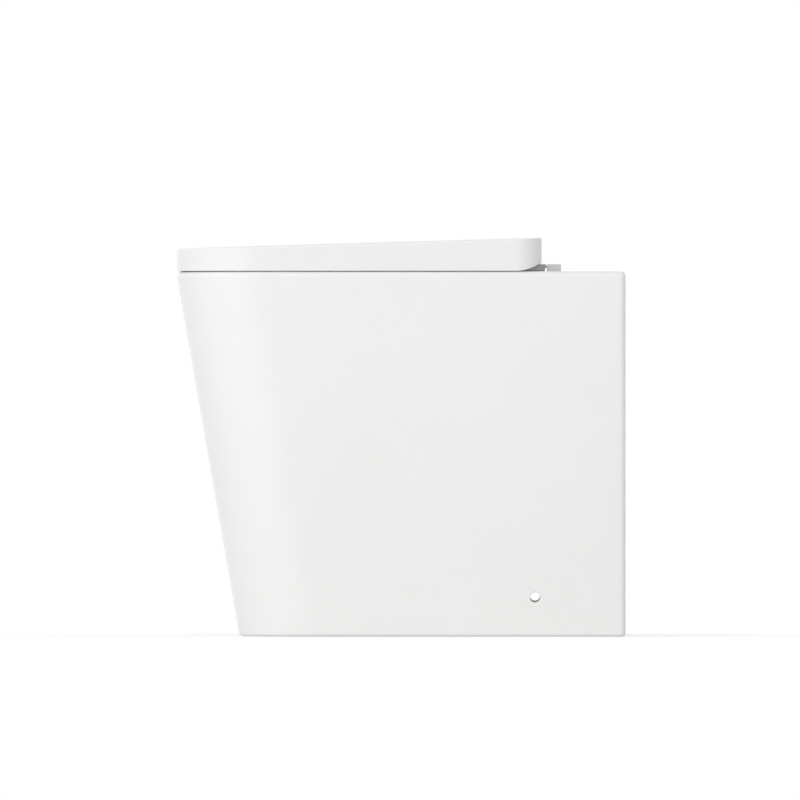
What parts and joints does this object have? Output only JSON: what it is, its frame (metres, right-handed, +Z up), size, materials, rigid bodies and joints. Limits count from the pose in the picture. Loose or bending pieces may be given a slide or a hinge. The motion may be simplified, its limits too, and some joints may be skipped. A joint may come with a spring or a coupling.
{
  "type": "back to wall toilet",
  "caption": "Back to wall toilet pan with a leaning rounded front, a wrap-over soft-close seat and lid, and lift-off hinges.",
  "frame": {"origin": "on the floor, under the middle of the box round the whole toilet", "axes": "+X to the right of someone facing the toilet's front, +Y back towards the wall, +Z up"},
  "size_m": [0.36, 0.492, 0.4366],
  "materials": {
    "ceramic": "white glaze, glossy",
    "seat_resin": "white urea resin, polished",
    "hinge_chrome": "plated, bright",
    "slider_satin": "plated, satin",
    "stainless": "turned",
    "spring_steel": "drawn wire",
    "brass": "turned",
    "nylon": "moulded",
    "rubber": "moulded, matt",
    "buffer_grey": "soft, translucent"
  },
  "bodies": {
    "pan": {"pan": "ceramic", "hinge_gasket_left": "rubber", "hinge_gasket_right": "rubber", "hinge_post_left": "stainless", "hinge_post_right": "stainless", "fixing_sleeve_left": "rubber", "fixing_sleeve_right": "rubber", "cone_nut_left": "brass", "cone_nut_right": "brass"},
    "hinge_set": {"hinge_body_left": "hinge_chrome", "hinge_body_right": "hinge_chrome", "seat_damper_housing": "nylon", "seat_damper_cap": "nylon", "seat_damper_seal": "rubber", "lid_damper_housing": "nylon", "lid_damper_cap": "nylon", "lid_damper_seal": "rubber", "seat_pin_bush": "nylon", "lid_pin_bush": "nylon", "latch_spring_left": "spring_steel", "latch_spring_right": "spring_steel"},
    "slider_left": {"release_slider_left": "slider_satin"},
    "slider_right": {"release_slider_right": "slider_satin"},
    "seat": {"seat_ring": "seat_resin", "seat_damper_shaft": "stainless", "seat_pin": "stainless", "seat_buffer_front_left": "buffer_grey", "seat_buffer_front_right": "buffer_grey", "seat_buffer_rear_left": "buffer_grey", "seat_buffer_rear_right": "buffer_grey"},
    "lid": {"lid_shell": "seat_resin", "lid_damper_shaft": "stainless", "lid_pin": "stainless", "lid_buffer_front_left": "buffer_grey", "lid_buffer_front_right": "buffer_grey", "lid_buffer_rear_left": "buffer_grey", "lid_buffer_rear_right": "buffer_grey"}
  },
  "joints": [
    {"name": "seat_set_lift", "type": "slide", "parent": "pan", "child": "hinge_set", "axis": [0, 0, 1], "range_m": [0, 0.06]},
    {"name": "slider_left_pull", "type": "slide", "parent": "hinge_set", "child": "slider_left", "axis": [0, 1, 0], "range_m": [0, 0.004], "stiffness_N_per_m": 700, "springref_m": -0.003, "deforming": ["latch_spring_left"]},
    {"name": "slider_right_pull", "type": "slide", "parent": "hinge_set", "child": "slider_right", "axis": [0, 1, 0], "range_m": [0, 0.004], "stiffness_N_per_m": 700, "springref_m": -0.003, "deforming": ["latch_spring_right"]},
    {"name": "seat_hinge", "type": "hinge", "parent": "hinge_set", "child": "seat", "pos_m": [0, 0.1435, 0.421], "axis": [-1, 0, 0], "range_deg": [0, 95]},
    {"name": "lid_hinge", "type": "hinge", "parent": "seat", "child": "lid", "pos_m": [0, 0.1435, 0.421], "axis": [1, 0, 0], "range_deg": [-95, 0]}
  ]
}
